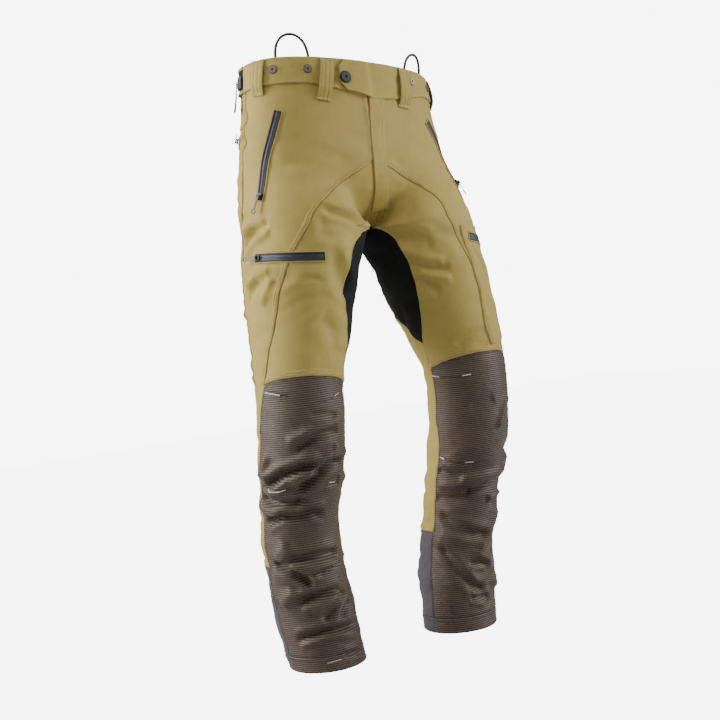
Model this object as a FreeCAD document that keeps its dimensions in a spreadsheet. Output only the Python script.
import FreeCAD, Part
import math, os
import Sketcher
from FreeCAD import Matrix, Placement, Rotation, Vector

# Protective work trousers for chainsaw users, in millimetres.
# +Z is up, the wearer faces -Y and the wearer's right is at -X.  The origin is on
# the ground plane between the two hems.  The outer cloth is one surface per side,
# addressed by an angle psi (degrees) and a height z; every cloth piece is a patch of
# it, offset inwards or outwards.

# --- driving dimensions -------------------------------------------------------------
DIMENSIONS = dict(
    # overall heights, rise at the centre back, tilt of the waist, turn of the legs
    waist_height=1084.0, crotch_height=790.0, hip_blend_top=930.0, back_rise=26.0,
    tilt_side=-0.10, tilt_front=-0.0278, leg_turn_deg=17.0,
    # arcs that part the hip, thigh and shin zones
    hip_axis_y=0.0, hip_axis_z=900.0, hip_arc=145.0,
    knee_axis_y=0.0, knee_axis_z=470.0, knee_arc=136.0, arc_gap=1.6,
    # cloth layers: distances in or out from the outer cloth
    cloth=1.6, pad_out=3.8, pad_in=9.8, bag_out=2.4, bag_in=4.2, band_out=3.4, band_in=0.6,
    # zips
    hand_zip_width=14.0, thigh_zip_width=15.0, tape_in=0.5, tape_out=1.5,
    slider_length=12.0, slider_width=8.0, slider_height=2.6, slider_lift=2.5,
    ear_length=4.2, ear_height=3.6, ear_thick=1.1, pin_radius=0.8, pivot_rise=2.3,
    barrel_radius=1.6, barrel_bore=0.86, barrel_width=4.4,
    pull_length=26.0, pull_width=5.6, pull_thick=1.3, ring_radius=4.6, ring_wire=1.6,
    # fastenings, cords, loops and hem
    stud_radius=6.2, stud_height=2.0, stud_hole=2.2, snap_radius=9.6, snap_height=3.2,
    cord_radius=2.6, cord_rise=42.0, loop_width=25.0, loop_thick=2.0, loop_lift=4.6,
    strap_width=22.0, strap_thick=1.8, hem_band_height=28.0, tab_length=68.0,
)

# Leg sections from hem to crotch: height, centre x and y, half axes in x and y
LEG_COLUMNS = ("level", "leg_cx", "leg_cy", "leg_hx", "leg_hy")
LEG_STATIONS = [
    (0, 152.2, 28.4, 71.4, 72.8),
    (120, 165.7, 35.9, 74.1, 77.0),
    (260, 181.9, 14.5, 72.5, 76.1),
    (400, 186.3, -31.6, 77.3, 81.9),
    (500, 183.0, -46.2, 77.4, 82.8),
    (600, 162.8, -37.6, 90.2, 96.5),
    (700, 142.0, -26.8, 103.1, 109.2),
    (790, 116.0, -17.1, 114.7, 120.5),
]
# Hip sections from crotch to waist: height, half width, y of front and of back
HIP_COLUMNS = ("hip_level", "hip_hw", "hip_yf", "hip_yb")
HIP_STATIONS = [
    (790, 227.1, -40.3, 110.0),
    (860, 215.9, -105.6, 128.0),
    (930, 206.5, -104.7, 126.0),
    (1000, 193.9, -103.0, 114.0),
    (1084, 184.4, -98.9, 104.0),
]
for columns, stations in ((LEG_COLUMNS, LEG_STATIONS), (HIP_COLUMNS, HIP_STATIONS)):
    for i, station in enumerate(stations):
        for column, value in zip(columns, station):
            DIMENSIONS["%s_%d" % (column, i)] = value

doc = FreeCAD.newDocument("ChainsawTrousers")
sheet = doc.addObject("Spreadsheet::Sheet", "Dimensions")
for row, (name, value) in enumerate(DIMENSIONS.items(), 1):
    sheet.set("A%d" % row, name)
    sheet.set("B%d" % row, str(float(value)))
    sheet.setAlias("B%d" % row, name)
doc.recompute()
dims = {name: float(sheet.get(name)) for name in DIMENSIONS}

WAIST = dims["waist_height"]
CROTCH = dims["crotch_height"]
BLEND_TOP = dims["hip_blend_top"]
SIDES = {-1: "right", 1: "left"}


# --- curves ---------------------------------------------------------------------------
def clip(value, low=0.0, high=1.0):
    return low if value < low else (high if value > high else value)


def smooth(value):
    value = clip(value)
    return value * value * (3 - 2 * value)


def end_slope(gap0, gap1, secant0, secant1):
    slope = ((2 * gap0 + gap1) * secant0 - gap0 * secant1) / (gap0 + gap1)
    if slope * secant0 <= 0:
        return 0.0
    if secant0 * secant1 < 0 and abs(slope) > 3 * abs(secant0):
        return 3 * secant0
    return slope


class Curve:
    """Monotone cubic through three or more keys, held constant outside them."""

    def __init__(self, keys):
        keys = sorted(keys)
        self.x = [float(key[0]) for key in keys]
        self.y = [float(key[1]) for key in keys]
        gaps = [b - a for a, b in zip(self.x, self.x[1:])]
        secants = [(b - a) / gap for a, b, gap in zip(self.y, self.y[1:], gaps)]
        self.slopes = [end_slope(gaps[0], gaps[1], secants[0], secants[1])]
        for i in range(1, len(keys) - 1):
            slope = 0.0
            if secants[i - 1] * secants[i] > 0:
                before = 2 * gaps[i] + gaps[i - 1]
                after = gaps[i] + 2 * gaps[i - 1]
                slope = (before + after) / (before / secants[i - 1] + after / secants[i])
            self.slopes.append(slope)
        self.slopes.append(end_slope(gaps[-1], gaps[-2], secants[-1], secants[-2]))

    def __call__(self, at):
        x, y, slopes = self.x, self.y, self.slopes
        if at <= x[0]:
            return y[0]
        if at >= x[-1]:
            return y[-1]
        k = 0
        while at > x[k + 1]:
            k += 1
        gap = x[k + 1] - x[k]
        u = (at - x[k]) / gap
        return ((2 * u**3 - 3 * u**2 + 1) * y[k] + (u**3 - 2 * u**2 + u) * gap * slopes[k]
                + (-2 * u**3 + 3 * u**2) * y[k + 1] + (u**3 - u**2) * gap * slopes[k + 1])


def station_curves(columns, count):
    """One curve over height for each column after the first, which is the height."""
    level = columns[0]
    return [Curve([(dims["%s_%d" % (level, i)], dims["%s_%d" % (column, i)])
                   for i in range(count)]) for column in columns[1:]]


LEG_CX, LEG_CY, LEG_HX, LEG_HY = station_curves(LEG_COLUMNS, len(LEG_STATIONS))
HIP_HALF_WIDTH, HIP_FRONT, HIP_BACK = station_curves(HIP_COLUMNS, len(HIP_STATIONS))

# --- the garment surface ----------------------------------------------------------------
TURN_TOP, TURN_RANGE = 920.0, 200.0    # the leg turn grows downwards from this height
SEAM_FADE_HEIGHT = 60.0                # height over which the turn dies at the centre seams
SEAM_FADE_ANGLE = 60.0
HIP_EXPONENT = 0.85                    # below 1 squares off the hip section
CREASE_ANGLE = math.radians(70)        # reach of the sharper blend beside the centre seams
CREASE_EXPONENT = 2.2
TILT_START, TILT_RANGE = 900.0, 180.0  # the waist tilt grows upwards from this height
ANGLE_STEP, HEIGHT_STEP = 0.6, 0.8     # steps for the numerical tangents


def turned(side, psi, z):
    """Pattern angle to surface angle.

    Both legs turn towards the wearer's right.  Above the crotch the turn fades out
    towards the centre seams.
    """
    turn = -side * dims["leg_turn_deg"] * smooth((TURN_TOP - z) / TURN_RANGE)
    if z > CROTCH:
        wrapped = psi % 360.0
        near_seam = 1 - smooth(min(wrapped, 360 - wrapped) / SEAM_FADE_ANGLE)
        turn *= 1 - smooth((z - CROTCH) / SEAM_FADE_HEIGHT) * near_seam
    return psi + turn


def cloth_point(side, psi, z):
    """Point of the outer cloth; side is -1 for the right and +1 for the left.

    psi is 0 at the inseam or centre front, 90 at the front of the leg, 180 at the outer
    side, 270 at the back of the leg and 360 at the inseam or centre back.
    """
    angle = turned(side, psi, z)
    angle = math.radians(angle % 360.0 if z <= CROTCH else clip(angle, 0.0, 360.0))
    leg_z = clip(z, 0.0, CROTCH)
    leg_cx, leg_hx = LEG_CX(leg_z), LEG_HX(leg_z)
    x = leg_cx - leg_hx * math.cos(angle)
    y = LEG_CY(leg_z) - LEG_HY(leg_z) * math.sin(angle)
    height = z
    if z > CROTCH:
        # half of the hip section, swept from centre front to centre back
        half = angle / 2
        hip_z = clip(z, CROTCH, WAIST)
        front, back = HIP_FRONT(hip_z), HIP_BACK(hip_z)
        cosine = math.cos(half)
        hip_x = HIP_HALF_WIDTH(hip_z) * abs(math.sin(half)) ** HIP_EXPONENT
        hip_y = (front + back) / 2 - (back - front) / 2 * math.copysign(
            abs(cosine) ** HIP_EXPONENT, cosine)
        # blend from the leg ellipse into the hip section
        below = clip((BLEND_TOP - z) / (BLEND_TOP - CROTCH))
        soft = smooth(below)
        sharp = 1 - math.sqrt(clip(1 - below ** CREASE_EXPONENT))
        crease = smooth(1 - min(angle, 2 * math.pi - angle) / CREASE_ANGLE)
        weight = soft * (1 - crease) + sharp * crease
        x = (1 - weight) * hip_x + weight * (x - (leg_cx - leg_hx))
        y = (1 - weight) * hip_y + weight * y
        rise = dims["back_rise"] * smooth((half - math.pi / 2) / (math.pi / 2))
        height += smooth((z - TILT_START) / TILT_RANGE) * (
            dims["tilt_side"] * side * x + dims["tilt_front"] * y + rise)
    return Vector(side * x, y, height)


def unit(vector):
    """Unit vector; a zero vector stays zero, as beyond the centre seams of the hip part."""
    return vector * (1.0 / (vector.Length or 1.0))


def surface_frame(side, psi, z):
    """Tangents along psi (per degree) and z (per mm), and the outward normal.

    No difference is taken across the crotch height, the hem or a centre seam.
    """
    z_high = z if CROTCH - HEIGHT_STEP < z <= CROTCH else z + HEIGHT_STEP
    z_low = z if CROTCH < z <= CROTCH + HEIGHT_STEP else z - HEIGHT_STEP
    if z >= 0:
        z_low = max(z_low, 0.0)
    in_leg = z <= CROTCH
    psi_low = psi - ANGLE_STEP if psi > ANGLE_STEP or in_leg else psi
    psi_high = psi + ANGLE_STEP if psi < 360 - ANGLE_STEP or in_leg else psi
    around = cloth_point(side, psi_high, z) - cloth_point(side, psi_low, z)
    around = around * (1.0 / (psi_high - psi_low))
    upward = cloth_point(side, psi, z_high) - cloth_point(side, psi, z_low)
    upward = upward * (1.0 / (z_high - z_low))
    return around, upward, unit(around.cross(upward)) * side


def offset_point(side, psi, z, distance):
    """Point at a distance outside the outer cloth."""
    return cloth_point(side, psi, z) + surface_frame(side, psi, z)[2] * distance


# Edges on a joint's arc: (joint, sense), for the pieces above and below the gap
ABOVE_HIP, BELOW_HIP = ("hip", -1), ("hip", 1)
ABOVE_KNEE, BELOW_KNEE = ("knee", -1), ("knee", 1)
arc_edges = {}


def arc_edge(side, joint, sense, distance):
    """Height where the layer at this offset meets the joint's arc, as a curve of psi."""
    key = (side, joint, sense, round(distance, 3))
    if key not in arc_edges:
        axis_y, axis_z = dims[joint + "_axis_y"], dims[joint + "_axis_z"]
        radius = dims[joint + "_arc"] + sense * dims["arc_gap"] / 2
        keys = []
        for psi in range(-120, 485, 5):
            low, high = axis_z - radius, axis_z - 1.0
            for _ in range(22):
                middle = (low + high) / 2
                point = offset_point(side, psi, middle, distance)
                if math.hypot(point.y - axis_y, point.z - axis_z) > radius:
                    low = middle
                else:
                    high = middle
            keys.append((psi, (low + high) / 2))
        arc_edges[key] = Curve(keys)
    return arc_edges[key]


def local_frame(side, psi, z, distance, toward):
    """Placement on a layer: X runs towards the (psi, z) 'toward', Z points outwards."""
    origin = offset_point(side, psi, z, distance)
    normal = surface_frame(side, psi, z)[2]
    along = cloth_point(side, *toward) - cloth_point(side, psi, z)
    along = unit(along - normal * along.dot(normal))
    across = normal.cross(along)
    return Placement(Matrix(along.x, across.x, normal.x, origin.x,
                            along.y, across.y, normal.y, origin.y,
                            along.z, across.z, normal.z, origin.z, 0, 0, 0, 1))


def raised(placement, height):
    return placement * Placement(Vector(0, 0, height), Rotation())


# --- pattern lines ------------------------------------------------------------------------
# (z, psi): the edge of the thigh and shin fronts on the outer side
ARCH = Curve([
    (906, 2), (883, 21), (851, 69), (808, 101), (764, 109), (730, 115), (687, 122), (624, 131),
    (585, 139), (532, 150), (500, 160), (468, 168), (340, 170), (248, 167), (135, 164), (0, 162)])
# (z, psi): front and back edges of the thigh gusset
GUSSET_FRONT = Curve([
    (790, 30), (780, 40), (755, 50), (735, 53), (694, 52), (643, 46), (600, 37), (566, 26),
    (530, 20), (510, 17), (416, 18), (354, 24)])
GUSSET_BACK = Curve([
    (790, -34), (750, -24), (700, -19), (673, -17), (623, -4), (566, 22), (530, 18.5),
    (510, 15.8), (416, 16.8), (354, 22.8)])
# (psi, z): top edge of the knee panel
KNEE_TOP = Curve([(15, 512), (30, 520), (65, 531), (98, 536), (119, 536), (145, 531), (160, 524)])
# (z, psi): inner edge of the knee and shin panels
SHIN_INNER = Curve([
    (540, 17), (510, 17), (416, 18), (354, 25), (286, 26), (209, 28), (0, 28)])
# (psi, z): lower edge of the waistband fronts
BAND_LOW = {
    -1: Curve([(2, 1019), (25, 1028), (52, 1035), (70, 1038), (180, 1038), (358, 1038)]),
    1: Curve([(2, 1016), (35, 1021), (95, 1037), (180, 1038), (358, 1038)]),
}
# (z, psi): free edge of the fly placket, and the hip part's front and back inner edges
FLY_EDGE = Curve([(806, 2), (815, 5), (826, 11), (838, 16.5), (860, 18), (1000, 16), (1084, 16)])
FRONT_INNER = Curve([
    (620, 43), (643, 46), (694, 52), (735, 53), (755, 50), (780, 40), (790, 30), (800, 14),
    (812, 3), (830, 0.4), (860, 0.25), (1090, 0.25)])
BACK_INNER = Curve([
    (620, -3), (673, -17), (700, -19), (750, -24), (780, -31), (790, -33), (800, -18),
    (812, -4), (832, -0.4), (860, -0.25), (1090, -0.25)])
# (psi, z): zip centre lines
HAND_ZIP = {-1: [(109, 1005), (115, 981), (123, 956), (134, 905), (149, 852)],
            1: [(84, 990), (94, 970), (107, 942), (117, 905), (130, 856)]}
THIGH_ZIP = {-1: [(151, 750), (135, 747), (116, 743), (82, 737)],
             1: [(182, 744), (155, 747), (142, 750), (127, 753)]}
REAR_ZIP = [(208, 968), (230, 962), (262, 958), (292, 962)]


def moved(curve, amount):
    return lambda at: curve(at) + amount


# --- cloth solids -----------------------------------------------------------------------
def bspline_surface(grid):
    surface = Part.BSplineSurface()
    surface.interpolate(grid)
    return surface


def solid_between(outer_grid, inner_grid):
    """Closed solid between two point grids of the same size."""
    outer, inner = bspline_surface(outer_grid), bspline_surface(inner_grid)
    u0, u1, v0, v1 = outer.bounds()
    rims = [(outer.uIso(u), inner.uIso(u)) for u in (u0, u1)]
    rims += [(outer.vIso(v), inner.vIso(v)) for v in (v0, v1)]
    faces = [outer.toShape(), inner.toShape()]
    faces += [Part.makeRuledSurface(a.toShape(), b.toShape(), 1) for a, b in rims]
    shell = Part.makeShell(faces)
    shell.sewShape()
    solid = Part.makeSolid(Part.Shell(shell.Faces))
    if solid.Volume < 0:
        solid.reverse()
    return solid


def corner(side_edge, end_edge):
    """Where the side edge psi = side_edge(z) meets the end edge z = end_edge(psi)."""
    def miss(z):
        return end_edge(side_edge(z)) - z

    guess = end_edge(side_edge(end_edge(90)))
    low, high = guess - 90.0, guess + 90.0
    if miss(low) * miss(high) > 0:
        # the range holds no sign change: settle by damped iteration
        z = guess
        for _ in range(60):
            z = 0.5 * z + 0.5 * end_edge(side_edge(z))
        return side_edge(z), z
    for _ in range(50):
        middle = (low + high) / 2
        if miss(low) * miss(middle) <= 0:
            high = middle
        else:
            low = middle
    return side_edge(low), low


def panel_grid(side, edges, distance, counts, power):
    """Coons patch between two side edges and two end edges in the (psi, z) plane."""
    psi0, psi1, z0, z1 = [edge if callable(edge) else (lambda at, level=edge: level)
                          for edge in edges]
    c00, c01 = corner(psi0, z0), corner(psi0, z1)
    c10, c11 = corner(psi1, z0), corner(psi1, z1)
    columns, rows = counts
    grid = []
    for i in range(columns):
        s = i / (columns - 1.0)
        psi_bottom = c00[0] + (c10[0] - c00[0]) * s
        psi_top = c01[0] + (c11[0] - c01[0]) * s
        bottom, top = (psi_bottom, z0(psi_bottom)), (psi_top, z1(psi_top))
        line = []
        for j in range(rows):
            t = (j / (rows - 1.0)) ** power
            z_first = c00[1] + (c01[1] - c00[1]) * t
            z_last = c10[1] + (c11[1] - c10[1]) * t
            first, last = (psi0(z_first), z_first), (psi1(z_last), z_last)
            psi, z = [(1 - t) * bottom[k] + t * top[k] + (1 - s) * first[k] + s * last[k]
                      - (1 - s) * (1 - t) * c00[k] - s * (1 - t) * c10[k]
                      - (1 - s) * t * c01[k] - s * t * c11[k] for k in (0, 1)]
            line.append(offset_point(side, psi, z, distance))
        grid.append(line)
    return grid


def panel(side, angles, heights, depths, counts, power=1.0):
    """Cloth panel between two psi edges and two z edges, each a number or a curve.

    A height may also be a joint edge such as ABOVE_HIP.  depths are the outer and inner
    face, measured inwards.  counts are grid points along psi and z; a power above 1
    crowds the rows towards the bottom.
    """
    grids = []
    for depth in depths:
        ends = [arc_edge(side, *height, -depth) if isinstance(height, tuple) else height
                for height in heights]
        grids.append(panel_grid(side, (*angles, *ends), -depth, counts, power))
    return solid_between(*grids)


MM_PER_DEGREE = 1.9   # rough scale for measuring length along a path
STRIP_ROWS = 4        # grid points across a strip


def path_points(path, count):
    """Even points along a path of (psi, z)."""
    travel = [0.0]
    for a, b in zip(path, path[1:]):
        travel.append(travel[-1] + math.hypot((a[0] - b[0]) * MM_PER_DEGREE, a[1] - b[1]))
    psi_at = Curve(list(zip(travel, [point[0] for point in path])))
    z_at = Curve(list(zip(travel, [point[1] for point in path])))
    stops = [travel[-1] * i / (count - 1) for i in range(count)]
    return [(psi_at(stop), z_at(stop)) for stop in stops]


def step_across(side, psi, z, distance, along):
    """(psi, z) after a move in the surface, square to the direction 'along'."""
    around, upward, normal = surface_frame(side, psi, z)
    move = normal.cross(unit(along)) * distance
    a, b, c = around.dot(around), around.dot(upward), upward.dot(upward)
    p, q = move.dot(around), move.dot(upward)
    det = a * c - b * b
    return psi + (p * c - q * b) / det, z + (q * a - p * b) / det


def strip(side, path, width, heights, count, lift=lambda t: 0.0):
    """Band of even width along a path of (psi, z).

    heights are the outer and inner face above the cloth; lift adds to both, over the
    fraction of the length.
    """
    points = path_points(path, count)
    rows = []
    for i, (psi, z) in enumerate(points):
        before, after = points[max(i - 1, 0)], points[min(i + 1, count - 1)]
        along = cloth_point(side, *after) - cloth_point(side, *before)
        rows.append([step_across(side, psi, z, width * (j / (STRIP_ROWS - 1.0) - 0.5), along)
                     for j in range(STRIP_ROWS)])
    grids = [[[offset_point(side, psi, z, height + lift(i / (count - 1.0))) for psi, z in row]
              for i, row in enumerate(rows)] for height in heights]
    return solid_between(*grids)


nodes = []


def feature(label, shape):
    node = doc.addObject("Part::Feature", label)
    node.Label = label
    node.Shape = shape
    nodes.append(node)


def both_sides(make):
    return [make(side) for side in SIDES]


def pair(label, make):
    """One node holding the right and the left piece."""
    feature(label, Part.makeCompound(both_sides(make)))


# Depths of the outer and inner faces
CLOTH = (0, dims["cloth"])
KNEE_CLOTH = (0, dims["cloth"] + 0.4)
PAD = (dims["pad_out"], dims["pad_in"])
BAG = (dims["bag_out"], dims["bag_in"])
BAND = (-dims["band_out"], -dims["band_in"])
ELASTIC = (-dims["band_out"] + 0.4, -dims["band_in"])
FLY_TAPE = (9.4, 10.4)
CARGO = (-2.5, -1.35)
HEM = (0, 2.4)
TAPE = (dims["tape_out"], dims["tape_in"])   # heights above the cloth, for strips

HALF_SEAM = 0.85   # half the gap between neighbouring panels, degrees
HALF_JOIN = 0.6    # half the gap along a level or fly seam
SHELL_TOP = WAIST - 4
BAND_BOTTOM = 1038
HEM_TOP = dims["hem_band_height"]


# --- hip part ---------------------------------------------------------------------------
def left_front_edge(z):
    """The left front starts at the placket's edge."""
    return max(FLY_EDGE(z) + 0.5, FRONT_INNER(z))


def hip_panels(side, name):
    front_edge = FRONT_INNER if side < 0 else left_front_edge
    feature("hip_front_" + name,
            panel(side, (front_edge, 179.2), (ABOVE_HIP, SHELL_TOP), CLOTH, (30, 30), power=1.6))
    feature("seat_panel_" + name,
            panel(side, (180.8, moved(BACK_INNER, 360)), (ABOVE_HIP, 984), CLOTH, (30, 26),
                  power=1.5))


for side, name in SIDES.items():
    hip_panels(side, name)
pair("back_yoke", lambda side: panel(side, (180.8, 359.75), (986, SHELL_TOP), CLOTH, (22, 8)))
feature("fly_placket",
        panel(1, (0.25, moved(FLY_EDGE, -HALF_JOIN)), (812, SHELL_TOP), CLOTH, (6, 20)))
feature("fly_zip_tape", panel(1, (2.0, 11.0), (850, 1030), FLY_TAPE, (5, 14)))

# Waistband: right and left fronts, back, elastic sides and the straps over them
feature("waistband_right", panel(-1, (0.4, 183), (BAND_LOW[-1], WAIST), BAND, (26, 6)))
feature("waistband_left", panel(1, (17.5, 183), (BAND_LOW[1], WAIST), BAND, (24, 6)))
pair("waistband_back",
     lambda side: panel(side, (217, 359.75), (BAND_BOTTOM, WAIST), BAND, (18, 6)))
pair("side_elastics",
     lambda side: panel(side, (184.2, 215.8), (BAND_BOTTOM, WAIST), ELASTIC, (8, 6)))

STRAP_PATH = [(186, 1058), (200, 1059), (226, 1060)]
STRAP_HEIGHT = 4.4
pair("adjuster_straps", lambda side: strip(
    side, STRAP_PATH, dims["strap_width"],
    (STRAP_HEIGHT + dims["strap_thick"], STRAP_HEIGHT), 10))

# Belt loops: side, psi at the foot and at the top, z of the foot and of the top
BELT_LOOPS = [
    (-1, 46.5, 38.5, 1009, 1080), (1, 42, 50, 1005, 1080),
    (-1, 147, 142, 1024, 1082), (1, 147, 142, 1024, 1082),
    (-1, 262, 262, 1027, 1082), (1, 262, 262, 1027, 1082), (1, 349, 349, 1027, 1082),
]
LOOP_HEIGHT = 4.0


def belt_loop(side, psi_foot, psi_top, z_foot, z_top):
    """Flat strip that stands off from the band between its ends."""
    path = [(psi_foot, z_foot), ((psi_foot + psi_top) / 2.0, (z_foot + z_top) / 2.0),
            (psi_top, z_top)]
    return strip(side, path, dims["loop_width"],
                 (LOOP_HEIGHT + dims["loop_thick"], LOOP_HEIGHT), 15,
                 lambda t: dims["loop_lift"] * math.sin(math.pi * t) ** 0.7)


feature("belt_loops", Part.makeCompound([belt_loop(*row) for row in BELT_LOOPS]))


# --- legs ---------------------------------------------------------------------------------
def thigh(side, name):
    feature("thigh_front_" + name,
            panel(side, (moved(GUSSET_FRONT, HALF_SEAM), moved(ARCH, -HALF_SEAM)),
                  (moved(KNEE_TOP, HALF_JOIN), BELOW_HIP), CLOTH, (22, 34)))
    feature("thigh_back_" + name,
            panel(side, (moved(ARCH, HALF_SEAM), moved(GUSSET_BACK, 360 - HALF_SEAM)),
                  (ABOVE_KNEE, BELOW_HIP), CLOTH, (40, 46)))
    feature("thigh_gusset_" + name,
            panel(side, (moved(GUSSET_BACK, HALF_SEAM), moved(GUSSET_FRONT, -HALF_SEAM)),
                  (580, BELOW_HIP), CLOTH, (14, 22)))
    feature("thigh_pad_" + name, panel(side, (56, 146), (ABOVE_KNEE, 762), PAD, (18, 26)))


def knee_and_shin(side, name):
    front = (moved(SHIN_INNER, HALF_SEAM), moved(ARCH, -HALF_SEAM))
    back = (moved(ARCH, HALF_SEAM), moved(SHIN_INNER, 360 - HALF_SEAM))
    shin_heights = (HEM_TOP + HALF_JOIN, BELOW_KNEE)
    feature("knee_panel_" + name,
            panel(side, front, (ABOVE_KNEE, moved(KNEE_TOP, -HALF_JOIN)), KNEE_CLOTH, (24, 16)))
    feature("shin_panel_" + name, panel(side, front, shin_heights, KNEE_CLOTH, (20, 20)))
    feature("calf_back_" + name, panel(side, back, shin_heights, CLOTH, (22, 20)))
    feature("shin_pad_" + name, panel(side, (40, 156), (44, BELOW_KNEE), PAD, (16, 20)))


def hem_band(side, name):
    """Band round the hem, built a little too low and trimmed flat at the ground."""
    band = panel(side, (201, 560), (-4, HEM_TOP - HALF_JOIN), HEM, (40, 6))
    band = band.cut(Part.makeBox(700, 700, 60, Vector(-350, -350, -60)))
    feature("hem_band_" + name, band.Solids[0])


# The left thigh tape lies over the cargo pocket
THIGH_TAPE_LIFT = {-1: 0.0, 1: 2.2}
# psi range, top z and depths of the thigh pocket bags
THIGH_BAG = {-1: ((84, 145), 726, (10.8, 12.4)), 1: ((152, 196), 728, BAG)}


def thigh_pocket(side, name):
    lift = THIGH_TAPE_LIFT[side]
    feature("thigh_zip_tape_" + name,
            strip(side, THIGH_ZIP[side], dims["thigh_zip_width"],
                  [height + lift for height in TAPE], 18))
    angles, top, depths = THIGH_BAG[side]
    feature("thigh_pocket_bag_" + name, panel(side, angles, (610, top), depths, (14, 12)))


for side, name in SIDES.items():
    thigh(side, name)
    knee_and_shin(side, name)
    hem_band(side, name)
    thigh_pocket(side, name)
feature("cargo_pocket_left", panel(1, (117, 199), (552, BELOW_HIP), CARGO, (30, 34)))

# --- hip pockets and crotch ---------------------------------------------------------------
HAND_BAG_ANGLES = {-1: (76, 136), 1: (62, 124)}
pair("hand_pocket_bags",
     lambda side: panel(side, HAND_BAG_ANGLES[side], (862, 985), BAG, (12, 12)))
pair("hand_zip_tapes",
     lambda side: strip(side, HAND_ZIP[side], dims["hand_zip_width"], TAPE, 16))
feature("rear_zip_tape", strip(-1, REAR_ZIP, dims["hand_zip_width"], TAPE, 18))


def crotch_piece(angles):
    return lambda side: panel(side, angles, (ABOVE_HIP, 795), CLOTH, (9, 7))


feature("crotch_gusset", Part.makeCompound(
    both_sides(crotch_piece((3.0, moved(FRONT_INNER, -2.5))))
    + both_sides(crotch_piece((moved(BACK_INNER, 362.5), 357.0)))))

# --- hang cords -----------------------------------------------------------------------------
CORD_ENDS = {-1: (60, 110, 0.0), 1: (58, 100, 9.0)}   # psi of the two ends, lean towards +X
CORD_DROP = 14          # ends below the waist edge
CORD_OFFSET = -5.4      # ends inside the cloth
CORD_POINTS = 15


def cord_points(side):
    psi_start, psi_end, lean = CORD_ENDS[side]
    start = offset_point(side, psi_start, WAIST - CORD_DROP, CORD_OFFSET)
    end = offset_point(side, psi_end, WAIST - CORD_DROP, CORD_OFFSET)
    points = []
    for i in range(CORD_POINTS):
        phase = math.pi * i / (CORD_POINTS - 1.0)
        bow = math.sin(phase)
        share = 0.5 - 0.5 * math.cos(phase) * (1 + 0.10 * bow)
        rise = (CORD_DROP + dims["cord_rise"]) * bow ** 0.75
        points.append(start + (end - start) * share + Vector(lean * bow, 0, rise))
    return points


def hang_cord(side):
    """Round cord swept along an arch above the waist."""
    points = cord_points(side)
    curve = Part.BSplineCurve()
    curve.interpolate(points)
    tangent = curve.tangent(curve.FirstParameter)[0]
    section = Part.Wire([Part.Circle(points[0], tangent, dims["cord_radius"]).toShape()])
    return Part.Wire([curve.toShape()]).makePipeShell([section], True, True)


for side, name in SIDES.items():
    feature("hang_cord_" + name, hang_cord(side))


# --- hardware, made as bodies bound to the sheet ----------------------------------------------
def length(constant=0.0, **factors):
    """(expression, value) of a constant plus factors times driving dimensions."""
    terms = [repr(float(constant))]
    terms += ["(%r) * Dimensions.%s" % (factor, name) for name, factor in factors.items()]
    value = constant + sum(factor * dims[name] for name, factor in factors.items())
    return " + ".join(terms), value


ZERO = length()


def new_body(label):
    body = doc.addObject("PartDesign::Body", label)
    body.Label = label
    return body


def new_sketch(body, name, role="XY_Plane"):
    sketch = body.newObject("Sketcher::SketchObject", name)
    plane = [item for item in body.Origin.OriginFeatures if item.Role == role][0]
    sketch.AttachmentSupport = [(plane, "")]
    sketch.MapMode = "FlatFace"
    return sketch


def constrain(sketch, size, *reference):
    """Add a dimension of the given size, driven by its expression."""
    index = sketch.addConstraint(Sketcher.Constraint(*reference, size[1]))
    sketch.setExpression("Constraints[%d]" % index, size[0])


def add_rectangle(sketch, width, height, left=None, bottom=None):
    """Rectangle from its left and bottom edges; centred on the origin where not given."""
    left = left or ("-(%s) / 2" % width[0], -width[1] / 2)
    bottom = bottom or ("-(%s) / 2" % height[0], -height[1] / 2)
    x0, y0 = left[1], bottom[1]
    x1, y1 = x0 + width[1], y0 + height[1]
    corners = [Vector(x0, y0, 0), Vector(x1, y0, 0), Vector(x1, y1, 0), Vector(x0, y1, 0)]
    first = sketch.addGeometry([Part.LineSegment(corners[i], corners[(i + 1) % 4])
                                for i in range(4)], False)[0]
    joins = [Sketcher.Constraint("Coincident", first + i, 2, first + (i + 1) % 4, 1)
             for i in range(4)]
    levels = [Sketcher.Constraint(kind, first + i)
              for i, kind in enumerate(("Horizontal", "Vertical") * 2)]
    sketch.addConstraint(joins + levels)
    constrain(sketch, width, "DistanceX", first, 1, first, 2)
    constrain(sketch, height, "DistanceY", first + 1, 1, first + 1, 2)
    constrain(sketch, left, "DistanceX", -1, 1, first, 1)
    constrain(sketch, bottom, "DistanceY", -1, 1, first, 1)


def add_circle(sketch, radius, x=ZERO, y=ZERO):
    circle = Part.Circle(Vector(x[1], y[1], 0), Vector(0, 0, 1), radius[1])
    index = sketch.addGeometry(circle, False)
    constrain(sketch, radius, "Radius", index)
    constrain(sketch, x, "DistanceX", -1, 1, index, 3)
    constrain(sketch, y, "DistanceY", -1, 1, index, 3)


def add_pad(body, sketch, size, name, midplane=False):
    pad = body.newObject("PartDesign::Pad", name)
    pad.Profile = sketch
    pad.setExpression("Length", size[0])
    if midplane:
        pad.Midplane = True
    sketch.Visibility = False


def cut_through(body, sketch, name):
    pocket = body.newObject("PartDesign::Pocket", name)
    pocket.Profile = sketch
    pocket.Type = 1   # through all
    pocket.Midplane = True


def finish(body, placement):
    body.Placement = placement
    nodes.append(body)


def add_slider_plate(body, sketch_name, pad_name):
    sketch = new_sketch(body, sketch_name)
    add_rectangle(sketch, length(slider_length=1), length(slider_width=1))
    add_pad(body, sketch, length(slider_height=1), pad_name)


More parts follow.
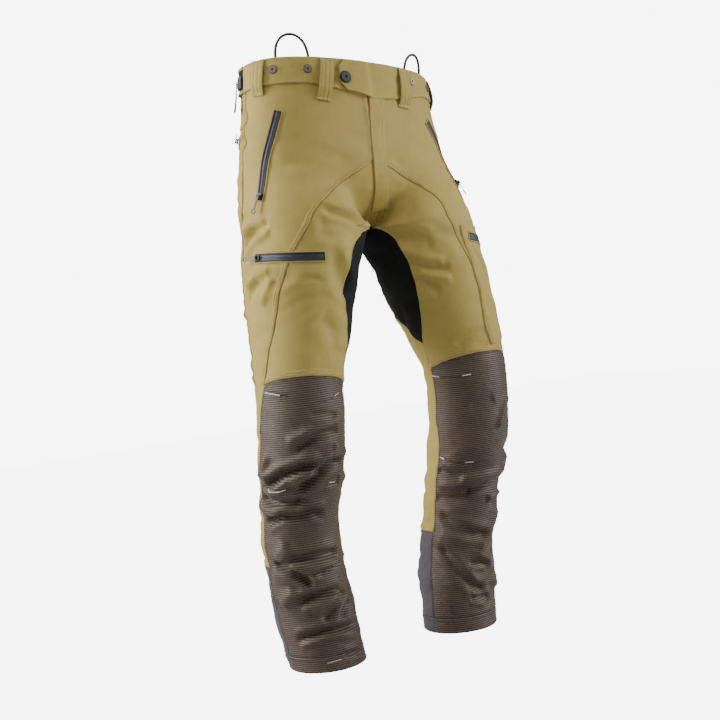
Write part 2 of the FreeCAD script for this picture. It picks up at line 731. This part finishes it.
EAR_PLAY = 0.25    # between the barrel's end and an ear
STEM_INSET = 0.4   # the stem is this much narrower than the barrel
RING_GAP = 1.0     # from the end of the stem to the ring's centre


def make_slider(label, placement):
    """Plate with two ears and the pull's cross pin; X runs down the zip, Z outwards."""
    body = new_body(label)
    add_slider_plate(body, label + "_plate", label + "_plate_pad")
    ear_starts = (length(EAR_PLAY, barrel_width=0.5),
                  length(-EAR_PLAY, barrel_width=-0.5, ear_thick=-1))
    for k, start in enumerate(ear_starts):
        sketch = new_sketch(body, "%s_ear%d" % (label, k))
        add_rectangle(sketch, length(ear_length=1), length(ear_thick=1), bottom=start)
        add_pad(body, sketch, length(slider_height=1, ear_height=1), "%s_ear_pad%d" % (label, k))
    sketch = new_sketch(body, label + "_pin", "XZ_Plane")
    add_circle(sketch, length(pin_radius=1), y=length(slider_height=1, pivot_rise=1))
    add_pad(body, sketch, length(barrel_width=1, ear_thick=2), label + "_pin_pad", midplane=True)
    finish(body, placement)


def make_pull(label, placement):
    """Barrel round the pin at the origin, a flat stem down the zip and a ring at its end."""
    body = new_body(label)
    thickness = length(pull_thick=1)
    sketch = new_sketch(body, label + "_barrel", "XZ_Plane")
    add_circle(sketch, length(barrel_radius=1))
    add_circle(sketch, length(barrel_bore=1))
    add_pad(body, sketch, length(barrel_width=1), label + "_barrel_pad", midplane=True)
    # the stem starts halfway through the barrel's wall
    sketch = new_sketch(body, label + "_stem")
    add_rectangle(sketch, length(pull_length=1), length(-STEM_INSET, barrel_width=1),
                  left=length(barrel_radius=0.5, barrel_bore=0.5))
    add_pad(body, sketch, thickness, label + "_stem_pad", midplane=True)
    ring_x = length(RING_GAP, barrel_radius=0.5, barrel_bore=0.5, pull_length=1)
    sketch = new_sketch(body, label + "_ring")
    add_circle(sketch, length(ring_radius=1), x=ring_x)
    add_pad(body, sketch, thickness, label + "_ring_pad", midplane=True)
    sketch = new_sketch(body, label + "_eye")
    add_circle(sketch, length(ring_radius=1, ring_wire=-1), x=ring_x)
    cut_through(body, sketch, label + "_eye_cut")
    finish(body, placement)


# Zip, side, (psi, z) of the slider, (psi, z) its pull hangs towards, extra lift
SLIDERS = [
    ("hand_zip", -1, (148, 856), (151, 845), 0.0),
    ("hand_zip", 1, (129, 860), (131, 849), 0.0),
    ("thigh_zip", -1, (148, 749.4), (154, 749.4), THIGH_TAPE_LIFT[-1]),
    ("thigh_zip", 1, (179, 744.3), (185, 743.7), THIGH_TAPE_LIFT[1]),
    ("rear_zip", -1, (211, 967.2), (205, 968), 0.0),
]
for zip_name, side, spot, toward, lift in SLIDERS:
    placement = local_frame(side, *spot, dims["slider_lift"] + lift, toward)
    make_slider("%s_slider_%s" % (zip_name, SIDES[side]), placement)
    make_pull("%s_pull_%s" % (zip_name, SIDES[side]),
              raised(placement, dims["slider_height"] + dims["pivot_rise"]))


def fly_slider(placement):
    body = new_body("fly_zip_slider")
    add_slider_plate(body, "fly_slider_plate", "fly_slider_pad")
    finish(body, placement)


def fly_pull(placement):
    body = new_body("fly_zip_pull")
    sketch = new_sketch(body, "fly_pull_stem")
    add_rectangle(sketch, length(pull_length=1), length(pull_width=1), left=ZERO)
    add_pad(body, sketch, length(pull_thick=1), "fly_pull_pad")
    finish(body, placement)


# Fly zip: plain slider and pull behind the placket, near the top of the tape
FIT_GAP = 0.2   # clearance between stacked hardware
fly_frame = local_frame(1, 6.5, 1010, -9.0, (6.5, 1000))
fly_slider(fly_frame)
fly_pull(raised(fly_frame, dims["slider_height"] + FIT_GAP))

# --- brace studs ------------------------------------------------------------------------------
STUDS = [(-1, 115, 1062), (-1, 64, 1061), (1, 64, 1061), (1, 115, 1062)]   # side, psi, z


def cylinder(name, radius, height, placement):
    item = doc.addObject("Part::Cylinder", name)
    item.setExpression("Radius", radius)
    item.setExpression("Height", height)
    item.Placement = placement
    return item


def brace_stud(k, side, psi, z):
    """Disc with a centre hole, standing on the waistband."""
    placement = local_frame(side, psi, z, dims["band_out"] + FIT_GAP, (psi, z - 5))
    stud = doc.addObject("Part::Cut", "stud_%d" % k)
    stud.Base = cylinder("stud_body_%d" % k, "Dimensions.stud_radius",
                         "Dimensions.stud_height", placement)
    stud.Tool = cylinder("stud_hole_%d" % k, "Dimensions.stud_hole",
                         "Dimensions.stud_height + 2", raised(placement, -1.0))
    return stud


studs = doc.addObject("Part::Compound", "brace_studs")
studs.Label = "brace_studs"
studs.Links = [brace_stud(k, *spot) for k, spot in enumerate(STUDS)]
nodes.append(studs)

# --- fly tab and snap ---------------------------------------------------------------------------
TAB_INNER = dims["band_out"] + 1.6
TAB_OUTER = dims["band_out"] + 4.2
TAB_START_X = 14.0
TAB_COLUMNS, TAB_ROWS = 20, 6
TAB_TAPER_START, TAB_TAPER = 0.86, 12   # fraction where the end narrows, and by how much
CENTRE_PSI = 0.7                        # closer to the centre front than this, x is set directly


def angle_at_x(side, x, z):
    """psi on the front whose point lies at this distance from the centre plane."""
    low, high = 0.0, 60.0
    for _ in range(24):
        middle = (low + high) / 2
        if abs(cloth_point(side, middle, z).x) > abs(x):
            high = middle
        else:
            low = middle
    return (low + high) / 2


def tab_point(x, z, distance):
    side = 1 if x > 0 else -1
    psi = angle_at_x(side, x, z)
    if psi > CENTRE_PSI:
        return offset_point(side, psi, z, distance)
    near = offset_point(side, 0.8, z, distance)
    return Vector(x, near.y, near.z)


def tab_grid(distance):
    """The tab runs from the left front across the centre and over the right front."""
    grid = []
    for i in range(TAB_COLUMNS):
        t = i / (TAB_COLUMNS - 1.0)
        x = TAB_START_X - dims["tab_length"] * t
        taper = TAB_TAPER * clip((t - TAB_TAPER_START) / (1 - TAB_TAPER_START)) ** 2
        bottom = 1017 + 9 * smooth(t * 1.4) + taper
        top = WAIST - 2.0 - taper
        grid.append([tab_point(x, bottom + (top - bottom) * j / (TAB_ROWS - 1.0), distance)
                     for j in range(TAB_ROWS)])
    return grid


def snap_cap(placement):
    """Disc with a centre hole on the outside of the tab."""
    body = new_body("snap_cap")
    sketch = new_sketch(body, "snap_cap_disc")
    add_circle(sketch, length(snap_radius=1))
    add_pad(body, sketch, length(snap_height=1), "snap_cap_pad")
    sketch = new_sketch(body, "snap_cap_eye")
    add_circle(sketch, length(stud_hole=1))
    cut_through(body, sketch, "snap_cap_cut")
    finish(body, placement)


def snap_post(placement):
    """Thin disc between the waistband and the tab."""
    body = new_body("snap_post")
    sketch = new_sketch(body, "snap_post_disc")
    add_circle(sketch, length(-2, snap_radius=1))
    add_pad(body, sketch, length(1.0), "snap_post_pad")
    finish(body, placement)


feature("fly_tab", solid_between(tab_grid(TAB_OUTER), tab_grid(TAB_INNER)))
snap_frame = local_frame(-1, 20.5, 1049, 0.0, (20.5, 1044))
snap_cap(raised(snap_frame, TAB_OUTER + FIT_GAP))
snap_post(raised(snap_frame, dims["band_out"] + FIT_GAP))

# --- check and export -----------------------------------------------------------------------------
doc.recompute()
bad = [item.Name for item in doc.Objects if "Invalid" in item.State or "Error" in item.State]
for node in nodes:
    if node.Shape.isNull() or not node.Shape.isValid() or node.Shape.Volume <= 0:
        bad.append(node.Label)
if bad:
    raise RuntimeError("failed objects: %s" % bad)
os.makedirs("parts", exist_ok=True)
for node in nodes:
    node.Shape.exportStep("parts/%s.step" % node.Label)
